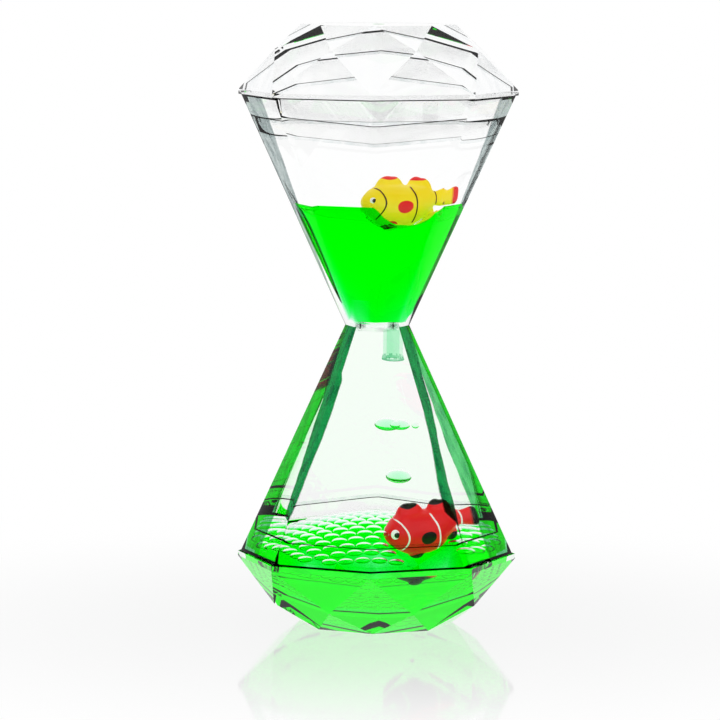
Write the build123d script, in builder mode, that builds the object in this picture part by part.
"""Liquid motion timer: a clear faceted hourglass with a coloured liquid that drips through
clear oil, and two toy fish that float where the two liquids meet.

Millimetres, +Z up. The origin is the middle of the lower table, the flat on which the timer
stands. A corner of the eight-sided girdle points to -Y. The upper half mirrors the lower one."""

import os
from math import asin, atan, cos, degrees, hypot, radians, sin, sqrt

from build123d import *

os.makedirs("parts", exist_ok=True)

# Overall form
overall_height = 150.0
sides = 8
half_turn = 180.0
full_turn = 360.0

# Crown cap: girdle, middle ring and table are eight-sided, given by their corner radii
girdle_radius = 34.9
middle_radius = 27.1
table_radius = 19.3
middle_height = 10.4  # middle ring above the girdle flange
crown_height = 16.3  # table above the girdle flange
flange_thickness = 1.2
crown_wall = 2.5
table_wall = 2.6
skirt_depth = 5.0
skirt_inset = 6.2  # rim corner to the corner of the straight opening inside the skirt

# Funnel chamber
rim_radius = 34.2
neck_radius = 8.0
chamber_wall = 1.8

# Cement fillet under the skirt
cement_leg = 0.9

# Fill hole and its plug, in the middle of each table
plug_radius = 1.5
plug_chamfer = 0.4
boss_radius = 3.2
boss_height = 1.4

# Neck divider and its two nozzles
divider_thickness = 2.8
nozzle_offset = 4.1
spigot_radius = 1.4
spigot_bore = 0.8
nozzle_radius = 2.45
nozzle_bore = 1.6
shoulder_length = 0.7
lip_radius = 2.8
lip_length = 1.6
drip_length = 9.6  # neck plane to the tip of the nozzle that drips
riser_length = 7.4  # neck plane to the tip of the nozzle that lets oil rise

# Liquid levels: how far up its funnel the upper one is, and the lower one above the table
upper_level_share = 0.52869565
lower_level = 17.8
heap_rise = 4.6  # the middle of the heap of drops stands this far above its edge

# Drops that have settled without merging
bead_pitch = 4.3
bead_radius = 2.02
bead_height = 1.5
bead_sides = 6
bead_gap = 0.06
bead_shoulder_radius_share = 0.78
bead_shoulder_height_share = 0.55
bead_top_radius_share = 0.36
oil_gap = 0.5  # room between the settled drops and the oil over them
heap_sides = 24
heap_ring_count = 5

# Drops on their way down
drop_gap = 0.2
large_drop_radius = 3.3
large_drop_height = 3.3
merging_drop_radius = 2.6
merging_drop_height = 2.6
merging_drop_shift = 3.15
small_drop_radius = 0.95
small_drop_height = 1.7
small_drop_shift = 6.95
low_drop_radius = 3.3
low_drop_height = 3.5
large_drop_x = 2.9
large_drop_z = 48.4
low_drop_x = 5.8
low_drop_y = 1.5
low_drop_z = 34.6

# Rounded lumps, such as drops and fins, have flat facets, on rings at these angles from an end
lump_sides = 12
lump_turns = [18, 54, 90, 126, 162]
flatness = 1e-6  # a four-cornered facet this flat stays in one piece

# Toy fish: nose at the fish's own origin, tail to +X, back to +Z
fish_body_length = 19.2
fish_tail_length = 4.2
fish_back = 6.2  # back above the nose
fish_belly = 7.2  # belly below the nose
fish_half_width = 5.0
fish_wall = 1.2
fish_gap = 0.3  # room for the float in the liquids round it
eye_radius = 1.15
eye_depth = 1.6
eye_stand = 0.25
fish_sides = 12
fish_station_shares = [0.03, 0.11, 0.25, 0.45, 0.66, 0.85, 1.0]
back_shares = [0.15, 0.50, 0.84, 1.0, 0.96, 0.72, 0.36]
belly_shares = [0.20, 0.55, 0.84, 1.0, 0.92, 0.55, 0.26]
width_shares = [0.25, 0.56, 0.84, 1.0, 0.86, 0.50, 0.24]
tail_station_shares = [0.0, 0.45, 1.0]
tail_height_shares = [0.32, 0.34, 0.56]
tail_width_shares = [0.22, 0.20, 0.14]
tail_root_share = 0.94
eye_place_share = 0.13
eye_rise_share = 0.07
eye_width_share = 0.62
# Fins as place along, place up, half length, half thickness and half height, all as shares
# of the body length: front hump, rear hump, pelvic fins and vent fin
fin_shares = [
    [0.42, 0.22, 0.20, 0.095, 0.19],
    [0.80, 0.18, 0.17, 0.085, 0.17],
    [0.40, -0.34, 0.11, 0.16, 0.08],
    [0.86, -0.20, 0.12, 0.065, 0.12],
]

# Where the two fish float: nose ahead of the inside corner by the tail, nose before the
# axis, nose above the liquid's level, tail lifted, tail turned to the back
yellow_reach = 23.338
yellow_front = 9.5
yellow_rise = 2.8
yellow_pitch = 3.0
yellow_yaw = 20.0
red_reach = 27.8002
red_front = 8.5
red_rise = 3.4
red_pitch = 12.5
red_yaw = 20.0

# Worked out from the sizes above
neck_plane = overall_height / 2
girdle_half = overall_height / 2 - crown_height - flange_thickness  # neck to the flange
side_angle = full_turn / sides
to_flat = cos(radians(side_angle / 2))  # apothem over corner radius
flare = (rim_radius - neck_radius) / girdle_half  # corner radius gained per unit height
slope_across = cos(atan(flare * to_flat)) * to_flat
throat_radius = neck_radius - chamber_wall / slope_across
upper_rim = neck_plane + girdle_half
upper_level = neck_plane + girdle_half * upper_level_share
skirt_radius = rim_radius - skirt_inset
divider_half = divider_thickness / 2


def throat(rise):
    """Corner radius of a funnel's inside, this far from the neck plane."""
    return throat_radius + flare * rise


def corner(radius, turn, height):
    """Point at a corner of a level ring."""
    return Vector(radius, 0, height).rotate(Axis.Z, turn)


def ring(radius, height, corners):
    """Corners of a level ring."""
    return [corner(radius, full_turn * step / corners, height) for step in range(corners)]


def faceted(rings):
    """Closed solid through rings of points, in flat facets of four corners or of three."""
    facets = [rings[0], rings[-1]]
    for lower, upper in zip(rings, rings[1:]):
        for step in range(len(lower)):
            near, far, above, back = lower[step - 1], lower[step], upper[step], upper[step - 1]
            normal = (far - near).cross(above - near)
            if abs(normal.normalized().dot(back - near)) < flatness:
                facets.append((near, far, above, back))
            else:
                facets.append((near, far, above))
                facets.append((near, above, back))
    return Solid(Shell([Face(Wire.make_polygon(points)) for points in facets]))


def funnel(low_radius, high_radius, low, high, corners=sides):
    """Solid many-sided taper between two heights."""
    return faceted([ring(low_radius, low, corners), ring(high_radius, high, corners)])


def ellipsoid(half_long, half_thick, half_tall):
    """Rounded lump from its three half sizes."""
    rings = []
    for turn in lump_turns:
        level = ring(sin(radians(turn)), -cos(radians(turn)), lump_sides)
        rings.append([Vector(half_long * p.X, half_thick * p.Y, half_tall * p.Z) for p in level])
    return faceted(rings)


def facet(first, second, third):
    """Cutting plane through three corners, facing away from the crown's axis."""
    normal = (second - first).cross(third - first).normalized()
    outward = normal if normal.dot(first + second + third) > 0 else -normal
    return Plane(origin=first, z_dir=outward)


def crown(base_radius, ring_radius, top_radius, ring_height, top_height, base):
    """Stone cut from an eight-sided blank: main facets and break facets up to the middle
    ring, then the same again to the table."""
    middle, top = base + ring_height, base + top_height
    cuts = []
    for side in range(sides):
        turn = side * side_angle
        after = turn + side_angle
        near = corner(ring_radius, turn + side_angle / 2, middle)
        far = corner(ring_radius, after + side_angle / 2, middle)
        girdle_corner = corner(base_radius, after, base)
        table_corner = corner(top_radius, after, top)
        cuts.append(facet(corner(base_radius, turn, base), girdle_corner, near))
        cuts.append(facet(girdle_corner, near, far))
        cuts.append(facet(table_corner, near, far))
        cuts.append(facet(corner(top_radius, turn, top), table_corner, near))
    with BuildPart() as stone:
        with BuildSketch(Plane.XY.offset(base)):
            RegularPolygon(base_radius, sides)
        extrude(amount=top_height)
        for cut in cuts:
            split(bisect_by=cut, keep=Keep.BOTTOM)
    return stone.part


def lower_twin(solid):
    """The same moulding upside down, as the lower half of the timer has it."""
    return solid.mirror(Plane.XY.offset(neck_plane))


def save(shape, name):
    """Writes one named piece."""
    shape.label = name
    export_step(shape, f"parts/{name}.step")


# Funnel chambers, two identical mouldings set neck to neck
chamber_outside = funnel(neck_radius, rim_radius, neck_plane, upper_rim)
chamber_inside = funnel(throat(0), throat(girdle_half), neck_plane, upper_rim)
with BuildPart() as upper_chamber:
    add(chamber_outside)
    add(chamber_inside, mode=Mode.SUBTRACT)
save(upper_chamber.part, "upper_chamber")

lower_chamber = lower_twin(upper_chamber.part)
save(lower_chamber, "lower_chamber")

# Crown caps: flange over the rim, skirt inside it, cut stone above, hollow throughout
flange_top = upper_rim + flange_thickness
skirt_end = upper_rim - skirt_depth
skirt_half = girdle_half - skirt_depth
ceiling = overall_height - table_wall
boss_end = ceiling - boss_height
crown_outside = crown(
    girdle_radius, middle_radius, table_radius, middle_height, crown_height, flange_top
)
crown_inside = crown(
    skirt_radius,
    middle_radius - crown_wall,
    table_radius - crown_wall,
    middle_height - crown_wall / 2,
    ceiling - flange_top,
    flange_top,
)
skirt_outside = funnel(throat(skirt_half), throat(girdle_half), skirt_end, upper_rim)
with BuildPart() as upper_cap:
    add(crown_outside)
    with BuildSketch(Plane.XY.offset(upper_rim)):
        RegularPolygon(girdle_radius, sides)
    extrude(amount=flange_thickness)
    add(skirt_outside)
    with BuildSketch(Plane.XY.offset(skirt_end)):
        RegularPolygon(skirt_radius, sides)
    extrude(amount=skirt_depth + flange_thickness, mode=Mode.SUBTRACT)
    add(crown_inside, mode=Mode.SUBTRACT)
    with BuildSketch(Plane.XY.offset(boss_end)):
        Circle(boss_radius)
    extrude(amount=boss_height)
    with BuildSketch(Plane.XY.offset(boss_end)):
        Circle(plug_radius)
    extrude(amount=boss_height + table_wall, mode=Mode.SUBTRACT)
save(upper_cap.part, "upper_cap")

lower_cap = lower_twin(upper_cap.part)
save(lower_cap, "lower_cap")

# Cement fillets: a three-cornered bead in the corner between skirt and chamber wall
cement_half = skirt_half - cement_leg
cement_end = skirt_end - cement_leg
cement_outside = funnel(throat(cement_half), throat(skirt_half), cement_end, skirt_end)
cement_inside = funnel(
    throat(cement_half), throat(skirt_half) - cement_leg, cement_end, skirt_end
)
with BuildPart() as upper_cement:
    add(cement_outside)
    add(cement_inside, mode=Mode.SUBTRACT)
save(upper_cement.part, "upper_cement")

lower_cement = lower_twin(upper_cement.part)
save(lower_cement, "lower_cement")

# Fill plugs, pressed into the bosses flush with the tables
with BuildPart() as upper_fill_plug:
    with BuildSketch(Plane.XY.offset(boss_end)):
        Circle(plug_radius)
    extrude(amount=boss_height + table_wall)
    chamfer(upper_fill_plug.edges().group_by(Axis.Z)[0], plug_chamfer)
save(upper_fill_plug.part, "upper_fill_plug")

lower_fill_plug = lower_twin(upper_fill_plug.part)
save(lower_fill_plug, "lower_fill_plug")

# Neck divider: a waisted plug that the two funnels trap between them
divider_low, divider_high = neck_plane - divider_half, neck_plane + divider_half
waist_below = funnel(throat(divider_half), throat(0), divider_low, neck_plane)
waist_above = funnel(throat(0), throat(divider_half), neck_plane, divider_high)
with BuildPart() as neck_divider:
    add(waist_below)
    add(waist_above)
    with BuildSketch(Plane.XY.offset(divider_low)):
        with Locations((nozzle_offset, 0), (-nozzle_offset, 0)):
            Circle(spigot_radius)
    extrude(amount=divider_thickness, mode=Mode.SUBTRACT)
save(neck_divider.part, "neck_divider")


def nozzle(length, bored):
    """Nozzle that hangs under the divider, as a turned outline with its lip and its bore."""
    shoulder, tip = divider_low - shoulder_length, neck_plane - length
    with BuildPart() as spout:
        with BuildSketch(Plane.XZ):
            with BuildLine():
                Polyline(
                    (0, divider_high),
                    (spigot_radius, divider_high),
                    (spigot_radius, divider_low),
                    (nozzle_radius, shoulder),
                    (nozzle_radius, tip + lip_length),
                    (lip_radius, tip),
                    (0, tip),
                    close=True,
                )
            make_face()
        revolve(axis=Axis.Z)
        if bored:
            with BuildSketch(Plane.XY.offset(tip)):
                Circle(nozzle_bore)
            extrude(amount=shoulder - tip, mode=Mode.SUBTRACT)
            with BuildSketch(Plane.XY.offset(shoulder)):
                Circle(spigot_bore)
            extrude(amount=divider_high - shoulder, mode=Mode.SUBTRACT)
    return spout.part.moved(Location((nozzle_offset, 0, 0)))


# The drip nozzle hangs in one hole, and the riser stands in the other, turned end for end
turn_over = Axis((0, 0, neck_plane), (0, 1, 0))
save(nozzle(drip_length, bored=True), "drip_nozzle")
save(nozzle(riser_length, bored=True).rotate(turn_over, half_turn), "riser_nozzle")
drip_room = nozzle(drip_length, bored=False)
riser_room = nozzle(riser_length, bored=False).rotate(turn_over, half_turn)


def fish_stations(grow):
    """Upright ellipses of the fish's body from nose to tail root, pushed out by grow: place,
    middle, half height and half width."""
    stations = []
    for place, back, belly, width in zip(
        fish_station_shares, back_shares, belly_shares, width_shares
    ):
        top, bottom = fish_back * back, -fish_belly * belly
        stations.append(
            (
                fish_body_length * place,
                (top + bottom) / 2,
                (top - bottom) / 2 + grow,
                fish_half_width * width + grow,
            )
        )
    return stations


def skin(stations):
    """Faceted body through a row of upright ellipses."""
    rings = []
    for place, middle, half_height, half_width in stations:
        rings.append(
            [
                Vector(place, half_width * p.X, middle + half_height * p.Y)
                for p in ring(1, 0, fish_sides)
            ]
        )
    return faceted(rings)


def fish_form(grow):
    """Whole outside of a fish: body, tail, two humps on the back and the fins below."""
    root = fish_body_length * tail_root_share
    reach = fish_body_length - root + fish_tail_length + grow
    body = fish_stations(grow)
    nose = (body[0][0] - grow, *body[0][1:])
    tail = []
    for place, tall, wide in zip(tail_station_shares, tail_height_shares, tail_width_shares):
        half_height = (fish_back + fish_belly) * tall / 2 + grow
        tail.append((root + reach * place, body[-1][1], half_height, fish_half_width * wide + grow))
    lumps = [skin([nose, *body[1:]]), skin(tail)]
    for along, up, long, thick, tall in fin_shares:
        fin = ellipsoid(
            fish_body_length * long + grow,
            fish_body_length * thick + grow,
            fish_body_length * tall + grow,
        )
        lumps.append(fin.moved(Location((fish_body_length * along, 0, fish_body_length * up))))
    with BuildPart() as form:
        for lump in lumps:
            add(lump)
    return form.part


def eye_pins(grow):
    """The two eye studs, one in each cheek."""
    socket = fish_half_width * eye_width_share - eye_depth
    with BuildPart() as pins:
        with BuildSketch(Plane.XZ.offset(socket)):
            with Locations((fish_body_length * eye_place_share, fish_back * eye_rise_share)):
                Circle(eye_radius + grow)
        extrude(amount=eye_depth + eye_stand + grow)
        mirror(about=Plane.XZ)
    return pins.part


def place_fish(nose, pitch, yaw):
    """Where a fish floats: its nose, then its tail turned by yaw and lifted by pitch."""
    return Location(nose) * Location((0, 0, 0), (0, 0, yaw)) * Location((0, 0, 0), (0, -pitch, 0))


# Fish floats: hollow, in two halves cemented on the middle plane, with studs for eyes
fish_eyes = eye_pins(grow=0)
fish_outside = fish_form(grow=0)
fish_hollow = skin(fish_stations(-fish_wall)[1:-1])
with BuildPart() as fish:
    add(fish_outside)
    add(fish_hollow, mode=Mode.SUBTRACT)
    add(fish_eyes, mode=Mode.SUBTRACT)
with BuildPart() as near_half:
    add(fish.part)
    split(bisect_by=Plane.XZ, keep=Keep.TOP)
with BuildPart() as far_half:
    add(fish.part)
    split(bisect_by=Plane.XZ, keep=Keep.BOTTOM)
room_outside = fish_form(grow=fish_gap)
room_eyes = eye_pins(grow=fish_gap)
with BuildPart() as fish_room:
    add(room_outside)
    add(room_eyes)

yellow_x = throat(upper_level - neck_plane) - yellow_reach
yellow_nose = (yellow_x, -yellow_front, upper_level + yellow_rise)
yellow_place = place_fish(yellow_nose, yellow_pitch, yellow_yaw)
red_z = lower_level + red_rise
red_nose = (throat(neck_plane - red_z) - red_reach, -red_front, red_z)
red_place = place_fish(red_nose, red_pitch, red_yaw)
for colour, spot in (("yellow", yellow_place), ("red", red_place)):
    save(near_half.part.moved(spot), f"{colour}_fish_near_half")
    save(far_half.part.moved(spot), f"{colour}_fish_far_half")
    save(fish_eyes.moved(spot), f"{colour}_fish_eyes")
yellow_room = fish_room.part.moved(yellow_place)
red_room = fish_room.part.moved(red_place)


def drop(radius, height, place, grow):
    """Flattened drop, round from above."""
    lump = ellipsoid(radius + grow, radius + grow, height / 2 + grow)
    return lump.moved(Location(place))


def falling_drops(grow):
    """The three drops on their way down, of which the first is two that are joining."""
    large_place = (large_drop_x, 0, large_drop_z)
    merging_place = (large_drop_x + merging_drop_shift, 0, large_drop_z)
    small_place = (large_drop_x + small_drop_shift, 0, large_drop_z)
    low_place = (low_drop_x, low_drop_y, low_drop_z)
    first = drop(large_drop_radius, large_drop_height, large_place, grow)
    second = drop(merging_drop_radius, merging_drop_height, merging_place, grow)
    with BuildPart() as pair:
        add(first)
        add(second)
    small = drop(small_drop_radius, small_drop_height, small_place, grow)
    low = drop(low_drop_radius, low_drop_height, low_place, grow)
    return pair.part, small, low


for shape, name in zip(falling_drops(grow=0), ("large_drop", "small_drop", "low_drop")):
    save(shape, name)

# The hollow of each half, as the liquids fill it: funnel, cement, skirt and crown
funnel_hollow = funnel(throat(divider_half), throat(cement_half), divider_high, cement_end)
with BuildPart() as upper_hollow:
    add(funnel_hollow)
    add(cement_inside)
    with BuildSketch(Plane.XY.offset(skirt_end)):
        RegularPolygon(skirt_radius, sides)
    extrude(amount=skirt_depth + flange_thickness)
    add(crown_inside)
    with BuildSketch(Plane.XY.offset(boss_end)):
        Circle(boss_radius)
    extrude(amount=boss_height, mode=Mode.SUBTRACT)
lower_hollow = lower_twin(upper_hollow.part)

# Upper filling: green liquid round the riser and under the fish, clear oil above it
with BuildPart() as upper_filling:
    add(upper_hollow.part)
    add(riser_room, mode=Mode.SUBTRACT)
    add(yellow_room, mode=Mode.SUBTRACT)
with BuildPart() as upper_green_liquid:
    add(upper_filling.part)
    split(bisect_by=Plane.XY.offset(upper_level), keep=Keep.BOTTOM)
save(upper_green_liquid.part, "upper_green_liquid")

with BuildPart() as upper_clear_oil:
    add(upper_filling.part)
    split(bisect_by=Plane.XY.offset(upper_level), keep=Keep.TOP)
save(upper_clear_oil.part, "upper_clear_oil")

# Lower filling: the green liquid ends in a low dome, on which drops that have landed lie
heap_reach = skirt_radius * to_flat
heap_sphere = (heap_reach * heap_reach + heap_rise * heap_rise) / (2 * heap_rise)
heap_centre = lower_level + heap_rise - heap_sphere


def under_heap(lift):
    """Everything below the dome, raised by lift, in rings from the outside to the middle."""
    sphere = heap_sphere + lift
    widest = degrees(asin(girdle_radius / sphere))
    rings = [ring(girdle_radius, 0, heap_sides)]
    for step in range(heap_ring_count, 0, -1):
        lean = radians(widest * step / heap_ring_count)
        rings.append(ring(sphere * sin(lean), heap_centre + sphere * cos(lean), heap_sides))
    return faceted(rings)


heap = under_heap(lift=0)
with BuildPart() as lower_green_liquid:
    add(lower_hollow)
    add(heap, mode=Mode.INTERSECT)
    add(red_room, mode=Mode.SUBTRACT)
save(lower_green_liquid.part, "lower_green_liquid")

# Clear oil from over the settled drops up to the divider, round all that is in it
heap_and_drops = under_heap(lift=bead_gap + bead_height + oil_gap)
drop_rooms = falling_drops(grow=drop_gap)
with BuildPart() as lower_clear_oil:
    add(lower_hollow)
    add(heap_and_drops, mode=Mode.SUBTRACT)
    add(red_room, mode=Mode.SUBTRACT)
    add(drip_room, mode=Mode.SUBTRACT)
    for room in drop_rooms:
        add(room, mode=Mode.SUBTRACT)
save(lower_clear_oil.part, "lower_clear_oil")

# Settled drops: flat-topped domes in staggered rows over the heap, none under the red fish
shoulder_height = bead_height * bead_shoulder_height_share
bead_shoulder = bead_radius * bead_shoulder_radius_share
bead_top = bead_radius * bead_top_radius_share
bead_skirt = funnel(bead_radius, bead_shoulder, 0, shoulder_height, bead_sides)
bead_dome = funnel(bead_shoulder, bead_top, shoulder_height, bead_height, bead_sides)
with BuildPart() as bead:
    add(bead_skirt)
    add(bead_dome)

row_step = bead_pitch * sqrt(3) / 2
rows = int(heap_reach / row_step)
columns = int(heap_reach / bead_pitch) + 1
bead_places = []
for row in range(-rows, rows + 1):
    for column in range(-columns, columns + 1):
        across = (column + row % 2 / 2) * bead_pitch
        along = row * row_step
        if hypot(across, along) + bead_radius + bead_gap > heap_reach:
            continue
        up = sqrt(heap_sphere * heap_sphere - across * across - along * along)
        outward = Vector(across, along, up).normalized()
        seat = Vector(0, 0, heap_centre) + outward * (heap_sphere + bead_gap)
        near_fish = red_room.distance_to(Vertex(seat)) < bead_radius + bead_gap
        if not near_fish and not red_room.solid().is_inside(seat):
            bead_places.append(Plane(origin=seat, x_dir=(0, 1, 0), z_dir=outward))
with BuildPart() as settled_drops:
    with Locations(*bead_places):
        add(bead.part)
save(settled_drops.part, "settled_drops")
print("settled drops:", len(bead_places))
